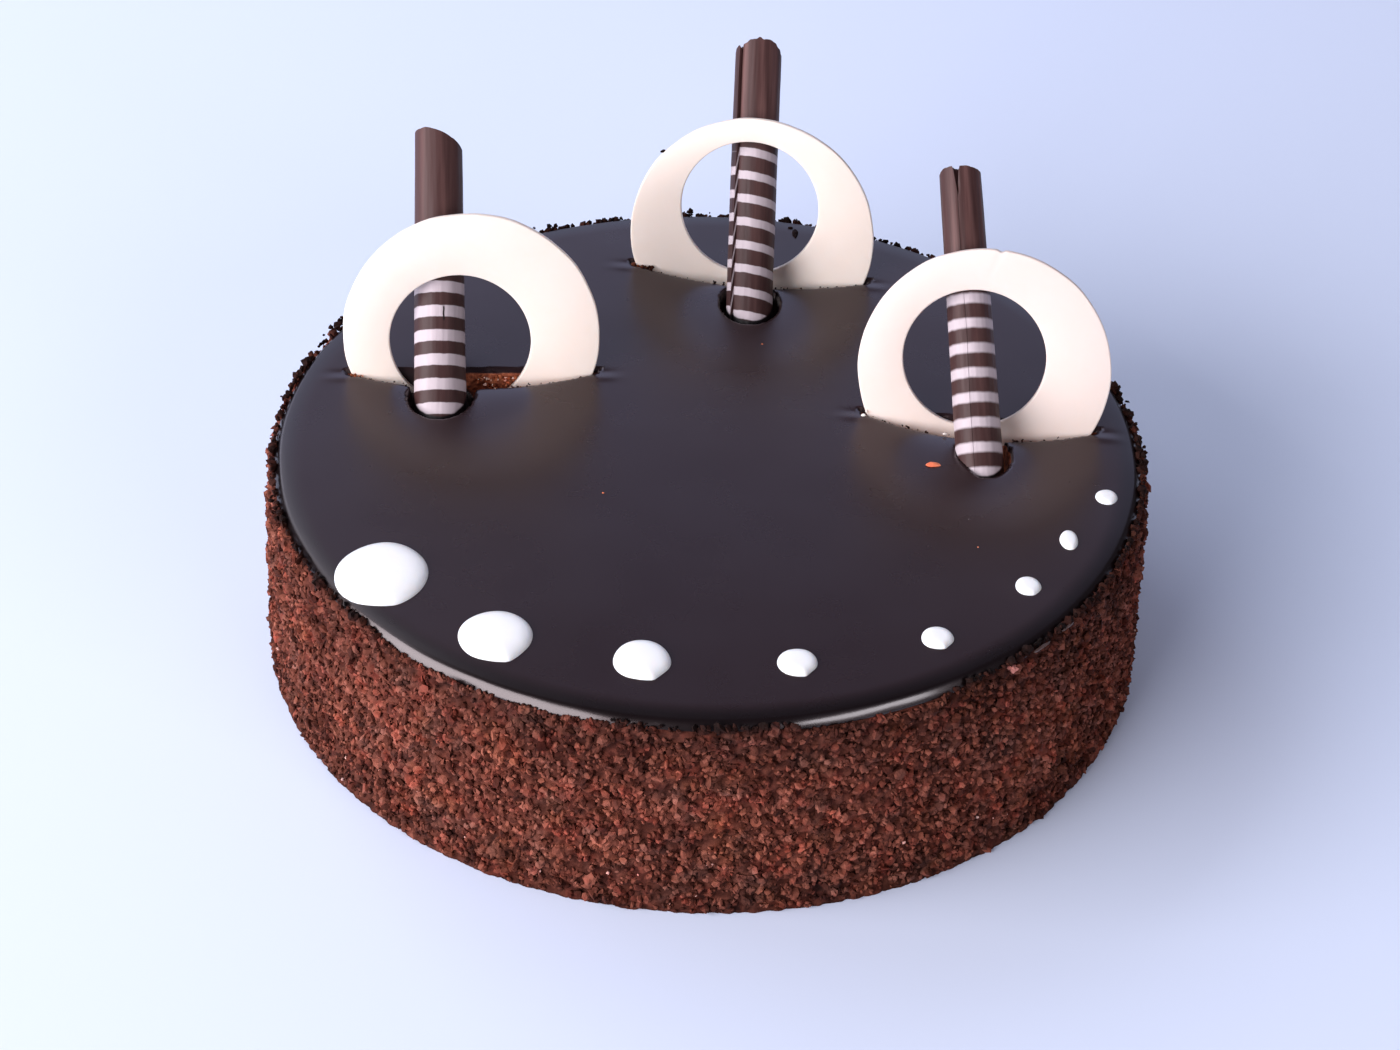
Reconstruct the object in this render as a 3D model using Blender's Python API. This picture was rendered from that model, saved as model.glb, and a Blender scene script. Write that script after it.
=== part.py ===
# Round chocolate cake: a crumb-coated drum under a dark mirror glaze, decorated with three
# ring plates, three rolled chocolate sticks that lean through the rings, and white drops.
# Metres, +Z up. The origin is the centre of the cake's base, and the drops are at the front, -Y.

import math

import bpy
import numpy as np
from mathutils import Euler, Matrix, Vector

MM = 0.001
GAP = 0.3 * MM                        # clearance between pieces that touch

# Drum and glaze
GLAZE_TOP = 51.2 * MM                 # height of the cake's top surface
GLAZE_RADIUS = 100.1 * MM
GLAZE_THICKNESS = 2.0 * MM
GLAZE_SIDES = 96
GLAZE_ROLL = 1.7 * MM                 # how far the rounded edge turns in at top and bottom
GLAZE_SHOULDER = 3.2 * MM             # where the edge starts to fall from the flat top
DRUM_TOP = GLAZE_TOP - GLAZE_THICKNESS - GAP
DRUM_RIM_RADIUS = 99.7 * MM           # flat top of the drum, under the glaze's lip
COAT_RADIUS_TOP = 100.5 * MM          # crumb coat, mean radius
COAT_RADIUS_FOOT = 102.5 * MM
FOOT_RADIUS = 103.3 * MM              # a little skirt of crumbs where the cake stands
FOOT_HEIGHT = 3.0 * MM
COAT_TOP = DRUM_TOP - 0.8 * MM        # height of the coat's last row of crumbs

# Crumb relief of the drum's side
CRUMB_COLUMNS = 208
CRUMB_ROWS = 16
CRUMB_DEPTH = 0.5 * MM                # deepest pit below the mean surface
CRUMB_HEIGHT = 1.1 * MM               # tallest crumb above it
CRUMB_SHIFT = 0.3                     # sideways scatter, as a share of the grid's spacing
CRUMB_SPARSITY = 1.5                  # above 1, tall crumbs are rarer than low ones
CRUMB_EDGE = 0.6                      # relief of the first and last row, against the others
CRUMB_SEED = 7

# Ring plates: full discs with an off-centre hole, pushed into slits in the cake
PLATE_THICKNESS = 1.6 * MM
PLATE_SIDES = 72
SLIT_OVERRUN = 2.4 * MM               # the slit is longer than the plate's chord at each end
SLIT_TAIL = 2.0 * MM                  # pointed end of the slit beyond that
CUTTER_SIDES = 36
THROUGH = 1.0 * MM                    # how far the glaze's cutters pass its two faces

# name: foot = chord's midpoint on the glaze, turn about Z, backward lean, disc centre's height
# along the plate, hole's centre (across, up) along the plate, and how far the near lip bows
PLATES = {
    "ring_left": dict(foot=(-56.5, 24.2), turn=3.2, lean=11.0, radius=30.3, rise=9.6,
                      hole=(-2.7, 8.1), hole_radius=16.7, bow=5.2),
    "ring_centre": dict(foot=(9.2, 71.6), turn=-5.6, lean=12.0, radius=30.4, rise=9.6,
                        hole=(-0.9, 17.05), hole_radius=17.1, bow=4.8),
    "ring_right": dict(foot=(63.4, 9.7), turn=-5.6, lean=16.0, radius=29.4, rise=12.6,
                       hole=(-2.5, 15.5), hole_radius=16.6, bow=5.6),
}

# Rolled sticks
STICK_BURIED = 15.0 * MM              # length below the glaze
STICK_SIDES = 28
STICK_ROWS = 6
ROLL_STEP = 0.5 * MM                  # step where the rolled sheet's edge overlaps
ROLL_MOUTH = 0.42                     # mouth of the roll, as a share of the stick's radius
ROLL_MOUTH_DEPTH = 4.0 * MM
ROLL_END = 7.0 * MM                   # stretch below the end that holds the slanting cut
RAGGED = 0.5 * MM                     # unevenness of the cut
SOCKET_OPEN = 8.0 * MM                # the socket's cutter rises this far past the glaze
STICK_SEED = 11

# name: axis point on the glaze, backward lean, heading to the right, length above the glaze,
# radius at the foot and the top, seam's direction, how steeply the cut end falls to the right
# and to the back, and the glaze hole's centre and half sizes
STICKS = {
    "stick_left": dict(foot=(-63.7, 18.0), lean=43.0, heading=-3.7, length=59.2,
                       radii=(6.1, 5.65), seam=90.0, cut=(0.46, 0.37),
                       hole=(-62.7, 16.6), hole_half=(7.7, 10.4)),
    "stick_centre": dict(foot=(9.4, 60.5), lean=41.5, heading=0.8, length=61.4,
                         radii=(5.65, 5.7), seam=217.0, cut=(0.02, 0.72),
                         hole=(9.6, 59.6), hole_half=(7.0, 9.4)),
    "stick_right": dict(foot=(62.7, -1.0), lean=45.0, heading=-6.8, length=66.7,
                        radii=(5.45, 4.8), seam=252.0, cut=(0.05, 0.1),
                        hole=(63.0, -2.4), hole_half=(6.7, 9.6)),
}
NOTCH_STICK = "stick_right"           # its end is split along the seam
NOTCH_WIDTH = 1.5 * MM
NOTCH_DEPTH = 6.0 * MM

# White drops, left to right: centre x and y, width, depth and height, in millimetres
DROPS = [
    (-70.0, -53.9, 20.2, 22.6, 1.5),
    (-43.8, -73.9, 15.9, 17.0, 1.4),
    (-12.5, -80.4, 12.4, 13.1, 1.2),
    (20.2, -79.7, 8.6, 9.1, 1.0),
    (50.1, -70.2, 7.1, 7.4, 0.9),
    (70.7, -51.5, 5.7, 6.6, 0.8),
    (80.9, -34.6, 4.2, 7.0, 0.8),
    (90.7, -18.2, 5.1, 5.6, 0.7),
]
DROP_SEED = 5

# Colours as linear RGB, roughness
LOOKS = {
    "crumb": ((0.075, 0.024, 0.013), 0.9),
    "glaze": ((0.012, 0.008, 0.010), 0.2),
    "white_chocolate": ((0.83, 0.73, 0.63), 0.45),
    "dark_roll": ((0.075, 0.042, 0.036), 0.5),
    "white_icing": ((0.90, 0.90, 0.92), 0.4),
}


def make_material(name):
    """A Principled material with one colour."""
    colour, roughness = LOOKS[name]
    material = bpy.data.materials.new(name)
    material.use_nodes = True
    shader = material.node_tree.nodes["Principled BSDF"]
    shader.inputs["Base Color"].default_value = (*colour, 1.0)
    shader.inputs["Roughness"].default_value = roughness
    shader.inputs["Metallic"].default_value = 0.0
    return material


def add_object(name, points, faces, material=None, matrix=None):
    """A mesh object from points and faces, placed by a matrix."""
    mesh = bpy.data.meshes.new(name)
    mesh.from_pydata([tuple(map(float, point)) for point in points], [], faces)
    mesh.update()
    piece = bpy.data.objects.new(name, mesh)
    bpy.context.scene.collection.objects.link(piece)
    if material is not None:
        mesh.materials.append(material)
        mesh.shade_smooth()
        mesh.set_sharp_from_angle(angle=math.radians(35))
    if matrix is not None:
        piece.matrix_world = matrix
    return piece


def cut(piece, cutter):
    """Take the cutter's shape out of the piece."""
    cutter.hide_render = True
    cutter.display_type = "WIRE"
    boolean = piece.modifiers.new(cutter.name, "BOOLEAN")
    boolean.operation = "DIFFERENCE"
    boolean.solver = "EXACT"
    boolean.object = cutter


def grid_faces(rows, columns):
    """Quads between closed rows of points, each row running anticlockwise."""
    faces = []
    for row in range(rows - 1):
        for column in range(columns):
            following = (column + 1) % columns
            low, high = row * columns, (row + 1) * columns
            faces.append((low + column, low + following, high + following, high + column))
    return faces


def lathe_like(name, rows, material=None, matrix=None):
    """A closed solid from rows of points, bottom to top, with flat ends."""
    columns = len(rows[0])
    faces = grid_faces(len(rows), columns)
    faces.append(tuple(reversed(range(columns))))
    faces.append(tuple(range((len(rows) - 1) * columns, len(rows) * columns)))
    return add_object(name, np.concatenate(rows), faces, material, matrix)


def circle(radius, height, sides):
    """Points round a level circle."""
    angle = np.arange(sides) * 2 * math.pi / sides
    return np.stack([radius * np.cos(angle), radius * np.sin(angle), np.full(sides, height)], -1)


def turned(points, angle):
    """The points turned about Z."""
    return points @ np.array(Matrix.Rotation(-angle, 3, "Z"))


def glaze_cutter(name, outline):
    """A vertical solid over an anticlockwise outline of (x, y) points, through the glaze."""
    levels = (GLAZE_TOP - GLAZE_THICKNESS - THROUGH, GLAZE_TOP + THROUGH)
    rows = [np.column_stack([outline, np.full(len(outline), level)]) for level in levels]
    return lathe_like(name, rows)


def make_drum(material):
    """The cake under the glaze: its side is a grid of crumbs, each point in or out at random."""
    random = np.random.default_rng(CRUMB_SEED)
    spacing = 2 * math.pi / CRUMB_COLUMNS
    pitch = COAT_TOP / (CRUMB_ROWS - 1)
    rows = []
    for row in range(CRUMB_ROWS):
        height = row * pitch
        mean = COAT_RADIUS_FOOT + (COAT_RADIUS_TOP - COAT_RADIUS_FOOT) * height / COAT_TOP
        if height < FOOT_HEIGHT:
            mean += (FOOT_RADIUS - COAT_RADIUS_FOOT) * (1 - height / FOOT_HEIGHT)
        share = random.random(CRUMB_COLUMNS) ** CRUMB_SPARSITY
        relief = -CRUMB_DEPTH + (CRUMB_DEPTH + CRUMB_HEIGHT) * share
        if row in (0, CRUMB_ROWS - 1):
            relief *= CRUMB_EDGE
        shift = random.uniform(-CRUMB_SHIFT, CRUMB_SHIFT, (2, CRUMB_COLUMNS))
        angle = (np.arange(CRUMB_COLUMNS) + shift[0]) * spacing
        level = np.zeros(CRUMB_COLUMNS) if row == 0 else height + shift[1] * pitch
        radius = mean + relief
        rows.append(np.stack([radius * np.cos(angle), radius * np.sin(angle), level], -1))
    rows.append(circle(DRUM_RIM_RADIUS, DRUM_TOP, CRUMB_COLUMNS))
    return lathe_like("cake_body", rows, material)


def make_glaze(material):
    """A flat disc of set glaze whose edge is rounded over."""
    middle = GLAZE_THICKNESS / 2
    bottom = GLAZE_TOP - GLAZE_THICKNESS
    rows = [circle(GLAZE_RADIUS - GLAZE_ROLL, bottom, GLAZE_SIDES)]
    for degrees in (-45, 0, 35, 65):
        turn = math.radians(degrees)
        reach = GLAZE_RADIUS - GLAZE_ROLL * (1 - math.cos(turn))
        rows.append(circle(reach, bottom + middle * (1 + math.sin(turn)), GLAZE_SIDES))
    rows.append(circle(GLAZE_RADIUS - GLAZE_SHOULDER, GLAZE_TOP, GLAZE_SIDES))
    return lathe_like("glaze", rows, material)


def plate_matrix(plate):
    """Plate frame: X across, Y through the plate and away from the front, Z up along it."""
    turn = Euler((-math.radians(plate["lean"]), 0, math.radians(plate["turn"])))
    place = Vector((plate["foot"][0] * MM, plate["foot"][1] * MM, GLAZE_TOP))
    return Matrix.Translation(place) @ turn.to_matrix().to_4x4()


def round_points(centre, radius, depth, sides):
    """Points round a circle in the plate's own X and Z, at one depth in Y."""
    points = circle(radius, 0, sides)
    return np.stack([centre[0] + points[:, 0], np.full(sides, depth), centre[1] + points[:, 1]], -1)


def make_plate(name, plate, material):
    """A disc with an off-centre round hole."""
    disc = ((0, plate["rise"] * MM), plate["radius"] * MM)
    hole = ((plate["hole"][0] * MM, plate["hole"][1] * MM), plate["hole_radius"] * MM)
    rows = [round_points(*disc, 0, PLATE_SIDES), round_points(*disc, PLATE_THICKNESS, PLATE_SIDES),
            round_points(*hole, PLATE_THICKNESS, PLATE_SIDES), round_points(*hole, 0, PLATE_SIDES)]
    faces = grid_faces(4, PLATE_SIDES)
    last = 3 * PLATE_SIDES
    for column in range(PLATE_SIDES):
        following = (column + 1) % PLATE_SIDES
        faces.append((last + column, last + following, following, column))
    faces = [tuple(reversed(face)) for face in faces]
    return add_object(name, np.concatenate(rows), faces, material, plate_matrix(plate))


def slot_cutter(name, plate):
    """The slot in the drum that the plate's buried part stands in."""
    centre = (0, plate["rise"] * MM)
    radius = plate["radius"] * MM + GAP
    rows = [round_points(centre, radius, PLATE_THICKNESS + GAP, CUTTER_SIDES),
            round_points(centre, radius, -GAP, CUTTER_SIDES)]
    return lathe_like(name + "_slot", rows, matrix=plate_matrix(plate))


def slit_cutter(name, plate):
    """The slit in the glaze: straight behind the plate, bowed out in front, pointed at the ends."""
    radius, rise = plate["radius"] * MM, plate["rise"] * MM
    half = math.sqrt(radius ** 2 - rise ** 2) + SLIT_OVERRUN
    back = PLATE_THICKNESS / math.cos(math.radians(plate["lean"])) + GAP
    share = np.linspace(-1, 1, 25)
    front = np.stack([share * half, -GAP - plate["bow"] * MM * (1 - share ** 2)], -1)
    outline = np.concatenate([[(-half - SLIT_TAIL, back)], front, [(half + SLIT_TAIL, back)]])
    turn = math.radians(plate["turn"])
    across = np.array([math.cos(turn), math.sin(turn)])
    away = np.array([-math.sin(turn), math.cos(turn)])
    foot = np.array(plate["foot"]) * MM
    return glaze_cutter(name + "_slit", foot + outline[:, :1] * across + outline[:, 1:] * away)


def stick_matrix(stick):
    """Stick frame: Z up along the stick, X to the right, Y away from the front."""
    turn = Euler((-math.radians(stick["lean"]), 0, -math.radians(stick["heading"])))
    place = Vector((stick["foot"][0] * MM, stick["foot"][1] * MM, GLAZE_TOP))
    return Matrix.Translation(place) @ turn.to_matrix().to_4x4()


def stick_radius(stick, height):
    """The stick's mean radius at a height along it."""
    foot, top = stick["radii"]
    return (foot + (top - foot) * height / (stick["length"] * MM)) * MM


def make_stick(name, stick, material, random):
    """A rolled sheet of chocolate: a round stick with a step at its seam and an open end."""
    turn = np.linspace(0, 2 * math.pi, STICK_SIDES)      # first and last are the two seam edges
    angle = math.radians(stick["seam"]) + turn
    step = ROLL_STEP * (turn / (2 * math.pi) - 0.5)
    length = stick["length"] * MM
    ragged = RAGGED * random.random(STICK_SIDES)

    def row(height, share=1.0):
        radius = stick_radius(stick, height) * share + step
        return np.stack([radius * np.cos(angle), radius * np.sin(angle),
                         np.full(STICK_SIDES, height)], -1)

    rows = [row(height) for height in np.linspace(-STICK_BURIED, length - ROLL_END, STICK_ROWS)]
    shoulder, rim = row(length - 0.6 * MM), row(length, 0.95)
    mouth = circle(stick_radius(stick, length) * ROLL_MOUTH, length, STICK_SIDES)
    bottom = mouth - (0, 0, ROLL_MOUTH_DEPTH)
    mouth, bottom = (turned(end, math.radians(stick["seam"])) for end in (mouth, bottom))
    for end, uneven in ((shoulder, ragged), (rim, 0.6 * ragged), (mouth, 0), (bottom, 0)):
        end[:, 2] -= end[:, :2] @ stick["cut"] + uneven
    return lathe_like(name, rows + [shoulder, rim, mouth, bottom], material, stick_matrix(stick))


def socket_cutter(name, stick):
    """The socket in the drum that the stick's buried part stands in."""
    reach = max(stick["radii"]) * MM + ROLL_STEP / 2 + GAP
    rows = [circle(reach, height, CUTTER_SIDES) for height in (-STICK_BURIED - GAP, SOCKET_OPEN)]
    return lathe_like(name + "_socket", rows, matrix=stick_matrix(stick))


def hole_cutter(name, stick):
    """The round hole that the stick tears in the glaze, longer than wide because it leans."""
    points = circle(1.0, 0, CUTTER_SIDES)[:, :2]
    outline = (np.array(stick["hole"]) + points * np.array(stick["hole_half"])) * MM
    return glaze_cutter(name + "_hole", outline)


def notch_cutter(name, stick):
    """A wedge that splits the stick's end along its seam."""
    length = stick["length"] * MM
    seam = math.radians(stick["seam"])
    outward = np.array([math.cos(seam), math.sin(seam), 0])
    aside = np.array([-math.sin(seam), math.cos(seam), 0])
    radius = stick_radius(stick, length)
    rows = []
    for depth in (0.35 * radius, 1.4 * radius):
        wedge = [(0, length - NOTCH_DEPTH), (NOTCH_WIDTH / 2, length + MM),
                 (-NOTCH_WIDTH / 2, length + MM)]
        rows.append(np.array([outward * depth + aside * x + np.array([0, 0, z]) for x, z in wedge]))
    return lathe_like(name + "_notch", rows, matrix=stick_matrix(stick))


def make_drop(number, drop, material, random):
    """A drop of white icing that has spread into a low, slightly uneven dome."""
    x, y, width, depth, height = drop
    sides = 26 if width > 10 else 16
    turn = np.arange(sides) * 2 * math.pi / sides
    waves = random.uniform(0, 2 * math.pi, 2)
    uneven = 1 + 0.02 * np.cos(2 * turn + waves[0]) + 0.012 * np.cos(3 * turn + waves[1])
    rows = []
    for share, level in ((0.97, 0.0), (1.0, 0.3), (0.84, 0.78), (0.5, 1.0)):
        rows.append(np.stack([(x + width / 2 * share * uneven * np.cos(turn)) * MM,
                              (y + depth / 2 * share * uneven * np.sin(turn)) * MM,
                              np.full(sides, GLAZE_TOP + GAP + level * height * MM)], -1))
    return lathe_like("drop_" + str(number), rows, material)


def main():
    for piece in list(bpy.data.objects):
        bpy.data.objects.remove(piece)
    looks = {name: make_material(name) for name in LOOKS}

    drum = make_drum(looks["crumb"])
    glaze = make_glaze(looks["glaze"])
    for name, plate in PLATES.items():
        make_plate(name, plate, looks["white_chocolate"])
        cut(drum, slot_cutter(name, plate))
        cut(glaze, slit_cutter(name, plate))
    random = np.random.default_rng(STICK_SEED)
    for name, stick in STICKS.items():
        roll = make_stick(name, stick, looks["dark_roll"], random)
        cut(drum, socket_cutter(name, stick))
        cut(glaze, hole_cutter(name, stick))
        if name == NOTCH_STICK:
            cut(roll, notch_cutter(name, stick))
    random = np.random.default_rng(DROP_SEED)
    for number, drop in enumerate(DROPS, start=1):
        make_drop(number, drop, looks["white_icing"], random)


main()
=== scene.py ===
import math

import bmesh
import bpy
import numpy as np
from mathutils import Matrix, Vector


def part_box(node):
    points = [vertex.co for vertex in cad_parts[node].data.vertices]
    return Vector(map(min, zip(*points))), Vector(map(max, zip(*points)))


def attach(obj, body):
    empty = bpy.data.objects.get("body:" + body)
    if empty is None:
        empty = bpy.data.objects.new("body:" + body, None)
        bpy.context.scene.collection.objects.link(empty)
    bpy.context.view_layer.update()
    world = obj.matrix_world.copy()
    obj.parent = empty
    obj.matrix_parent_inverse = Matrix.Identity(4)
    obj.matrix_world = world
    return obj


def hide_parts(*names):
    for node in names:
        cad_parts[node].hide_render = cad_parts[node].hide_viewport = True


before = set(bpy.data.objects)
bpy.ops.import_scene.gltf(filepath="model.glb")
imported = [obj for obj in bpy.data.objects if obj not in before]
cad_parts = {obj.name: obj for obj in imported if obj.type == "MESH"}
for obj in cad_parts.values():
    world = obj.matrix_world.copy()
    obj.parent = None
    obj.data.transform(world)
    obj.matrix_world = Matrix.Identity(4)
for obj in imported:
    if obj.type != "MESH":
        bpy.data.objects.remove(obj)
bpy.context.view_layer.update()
mm = 0.001
tau = 2 * math.pi

# the cake's own levels, read from the frame
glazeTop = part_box("glaze")[1].z
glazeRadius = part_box("glaze")[1].x
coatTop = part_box("cake_body")[1].z
footRadius = 102.6 * mm  # mean radius of the coat just above its foot
rimRadius = 100.6 * mm  # mean radius of the coat under the glaze's edge


# Small tools

class Wire:
    # a node's output: sums, products and shares of it add Math nodes to its finish
    def __init__(self, finish, socket):
        self.finish = finish
        self.socket = socket

    def __add__(self, other):
        return self.finish.maths("ADD", self, other)

    def __radd__(self, other):
        return self.finish.maths("ADD", other, self)

    def __sub__(self, other):
        return self.finish.maths("SUBTRACT", self, other)

    def __rsub__(self, other):
        return self.finish.maths("SUBTRACT", other, self)

    def __mul__(self, other):
        return self.finish.maths("MULTIPLY", self, other)

    def __rmul__(self, other):
        return self.finish.maths("MULTIPLY", other, self)

    def __truediv__(self, other):
        return self.finish.maths("DIVIDE", self, other)

    def __abs__(self):
        return self.finish.maths("ABSOLUTE", self)


class Finish:
    # a material under construction, with one method that adds any node
    def __init__(self, name, **fixed):
        self.material = bpy.data.materials.new(name)
        self.material.use_nodes = True
        self.tree = self.material.node_tree
        self.shader = self.tree.nodes["Principled BSDF"]
        for label, value in fixed.items():
            self.shader.inputs[label.replace("_", " ")].default_value = value

    def add(self, kind, settings=None, values=None, output=0):
        node = self.tree.nodes.new(kind)
        for label, value in (settings or {}).items():
            if label == "stops":
                ramp = node.color_ramp
                while len(ramp.elements) < len(value):
                    ramp.elements.new(0.5)
                for element, (where, colour) in zip(ramp.elements, value):
                    element.position = where
                    element.color = (*colour, 1.0)
            else:
                setattr(node, label, value)
        for label, value in (values or {}).items():
            self.feed(node.inputs[label], value)
        return Wire(self, node.outputs[output])

    def feed(self, socket, value):
        if isinstance(value, Wire):
            self.tree.links.new(value.socket, socket)
        else:
            socket.default_value = value

    def maths(self, operation, first, second=0.0):
        return self.add("ShaderNodeMath", {"operation": operation}, {0: first, 1: second})

    def coords(self):
        return self.add("ShaderNodeTexCoord", output="Object")

    def axis(self, vector, name):
        return self.add("ShaderNodeSeparateXYZ", values={0: vector}, output=name)

    def ramp(self, stops, value):
        return self.add("ShaderNodeValToRGB", {"stops": stops}, {0: value})

    def noise(self, coords, scale, detail=2.0, roughness=0.5):
        values = {"Vector": coords, "Scale": scale, "Detail": detail, "Roughness": roughness}
        return self.add("ShaderNodeTexNoise", values=values)

    def mix(self, factor, first, second, blend="MIX"):
        # colours may be given as red, green and blue
        first, second = [(*side, 1.0) if isinstance(side, tuple) else side for side in (first, second)]
        settings = {"data_type": "RGBA", "blend_type": blend}
        return self.add("ShaderNodeMix", settings, {0: factor, 6: first, 7: second}, 2)

    def attribute(self, name, output="Fac"):
        return self.add("ShaderNodeAttribute", {"attribute_name": name}, output=output)

    def between(self, value, low, high, start=0.0, end=1.0):
        # start where the value is below low, end where it is above high
        values = {"Value": value, "From Min": low, "From Max": high, "To Min": start, "To Max": end}
        return self.add("ShaderNodeMapRange", values=values)

    def set(self, label, value):
        self.feed(self.shader.inputs[label], value)

    def bump(self, height, distance, strength=1.0):
        values = {"Height": height, "Distance": distance, "Strength": strength}
        self.set("Normal", self.add("ShaderNodeBump", values=values))


def gridQuads(rows, columns, closed=True, loop=False, start=0):
    # quads between rows of points; closed joins each row's ends, loop joins the last row to the first
    row = np.arange(rows if loop else rows - 1)
    column = np.arange(columns if closed else columns - 1)
    row, column = np.meshgrid(row, column, indexing="ij")
    nextRow, nextColumn = (row + 1) % rows, (column + 1) % columns
    corners = [(row, column), (row, nextColumn), (nextRow, nextColumn), (nextRow, column)]
    return start + np.stack([r * columns + c for r, c in corners], -1).reshape(-1, 4)


def fan(columns, first, centre, facingUp=True):
    # triangles from a closed row of points, which starts at number first, to one centre point
    here = first + np.arange(columns)
    following = first + (np.arange(columns) + 1) % columns
    middle = np.full(columns, centre)
    return np.stack([here, following, middle] if facingUp else [following, here, middle], -1)


def meshPiece(name, points, faceSets, material, smooth=True, **attributes):
    # points as rows of x, y, z; faceSets as arrays of corner numbers; attributes as one number or
    # vector a point
    mesh = bpy.data.meshes.new(name)
    mesh.vertices.add(len(points))
    mesh.vertices.foreach_set("co", np.asarray(points, np.float32).ravel())
    corners = np.concatenate([faces.ravel() for faces in faceSets]).astype(np.int32)
    lengths = np.concatenate([np.full(len(faces), faces.shape[1]) for faces in faceSets])
    starts = np.concatenate([[0], np.cumsum(lengths)[:-1]]).astype(np.int32)
    mesh.loops.add(len(corners))
    mesh.loops.foreach_set("vertex_index", corners)
    mesh.polygons.add(len(lengths))
    mesh.polygons.foreach_set("loop_start", starts)
    mesh.polygons.foreach_set("use_smooth", np.full(len(lengths), smooth))
    mesh.update(calc_edges=True)
    for label, values in attributes.items():
        values = np.asarray(values, np.float32)
        kind, field = ("FLOAT", "value") if values.ndim == 1 else ("FLOAT_VECTOR", "vector")
        mesh.attributes.new(label, kind, "POINT").data.foreach_set(field, values.ravel())
    mesh.materials.append(material)
    piece = bpy.data.objects.new(name, mesh)
    bpy.context.scene.collection.objects.link(piece)
    return piece


def place(piece, slot, *nodes):
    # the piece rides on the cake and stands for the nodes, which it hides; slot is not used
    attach(piece, "root")
    if nodes:
        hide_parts(*nodes)


def smoothStep(value):
    # from 0 to 1 with level ends
    value = np.clip(value, 0, 1)
    return value * value * (3 - 2 * value)


def softNoise(u, v, seed, wrap):
    # smooth noise from -1 to 1: random values on a unit lattice joined by smooth steps, which
    # repeats after wrap cells in u
    values = np.random.default_rng(seed).uniform(-1, 1, (wrap, 256))
    cellU, cellV = np.floor(u).astype(int), np.floor(v).astype(int)
    shareU, shareV = smoothStep(u - cellU), smoothStep(v - cellV)
    corner = {(i, j): values[(cellU + i) % wrap, (cellV + j) % 256] for i in (0, 1) for j in (0, 1)}
    low = corner[0, 0] * (1 - shareU) + corner[1, 0] * shareU
    high = corner[0, 1] * (1 - shareU) + corner[1, 1] * shareU
    return low * (1 - shareV) + high * shareV


def noiseRound(angle, cells, seed):
    # softNoise once round the cake or a piece, in so many cells
    return softNoise(angle / tau * cells, angle * 0, seed, cells)


def roundAxis(radius, angle, height):
    # points at a radius and an angle round the vertical axis
    return np.stack([radius * np.cos(angle), radius * np.sin(angle), height], -1)


def crumbBed(u, v, seed, wrap):
    # height from 0 to 1 of a bed of crumbs: each unit cell holds one, scattered and of random size,
    # and a point takes the tallest dome of the nine cells round it
    random = np.random.default_rng(seed)
    shift, size = random.random((wrap, 256, 2)), random.uniform(0.4, 1.0, (wrap, 256))
    cellU, cellV = np.floor(u).astype(int), np.floor(v).astype(int)
    height, owner = np.zeros(np.shape(u)), np.zeros(np.shape(u))
    tone = random.random((wrap, 256))
    for stepU in (-1, 0, 1):
        for stepV in (-1, 0, 1):
            i, j = (cellU + stepU) % wrap, (cellV + stepV) % 256
            awayU = cellU + stepU + shift[i, j, 0] - u
            awayV = cellV + stepV + shift[i, j, 1] - v
            reach = (awayU ** 2 + awayV ** 2) / (0.8 * size[i, j]) ** 2
            dome = size[i, j] * np.sqrt(np.clip(1 - reach, 0, 1))
            owner = np.where(dome > height, tone[i, j], owner)
            height = np.maximum(height, dome)
    return height, owner


# Camera, at the photograph's viewing angle

print("camera and light")
camera = {
    "place": (0.0, -0.5642, 0.4570),
    "down": 37.37,  # degrees below the horizon
    "turn": 0.13,
    "roll": 1.587,
    "lens": 77.14,  # mm, on a sensor 36 mm wide
}
cameraData = bpy.data.cameras.new("camera")
cameraData.lens = camera["lens"]
cameraData.sensor_width = 36.0
cameraData.clip_start = 0.01
cameraPiece = bpy.data.objects.new("camera", cameraData)
bpy.context.scene.collection.objects.link(cameraPiece)
cameraPiece.matrix_world = (
    Matrix.Translation(camera["place"])
    @ Matrix.Rotation(math.radians(camera["turn"]), 4, "Z")
    @ Matrix.Rotation(math.radians(90 - camera["down"]), 4, "X")
    @ Matrix.Rotation(math.radians(camera["roll"]), 4, "Z")
)
bpy.context.scene.camera = cameraPiece

# Studio: a pale floor, a pale surround and large soft lights

studio = {
    "surround": (0.60, 0.57, 0.70),
    "surroundStrength": 0.19,
    "floor": (0.69, 0.76, 0.94),
    "floorHalf": 4.0,
    "floorBelow": 0.1 * mm,
    "lights": {
        # name: place, size, watts, colour; each faces the cake
        "left": ((-1.66, -1.10, 0.80), (2.6, 1.35), 110.0, (0.99, 0.965, 1.0)),
        "right": ((1.18, -1.48, 0.84), (1.15, 0.42), 11.5, (0.97, 0.95, 1.0)),
        "backLeft": ((-1.10, 0.80, 1.15), (1.6, 1.0), 14.0, (0.85, 0.9, 1.0)),
        "behind": ((-0.20, 1.90, 0.90), (2.6, 0.95), 11.0, (0.58, 0.66, 1.0)),
    },
}


def softLight(name, where, size, watts, colour):
    # a rectangular light turned so that it faces the middle of the cake
    data = bpy.data.lights.new(name, "AREA")
    data.shape = "RECTANGLE"
    data.size, data.size_y = size
    data.energy = watts
    data.color = colour
    light = bpy.data.objects.new(name, data)
    bpy.context.scene.collection.objects.link(light)
    aim = Vector((0, 0, coatTop)) - Vector(where)
    light.matrix_world = Matrix.Translation(where) @ aim.to_track_quat("-Z", "Y").to_matrix().to_4x4()


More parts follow.
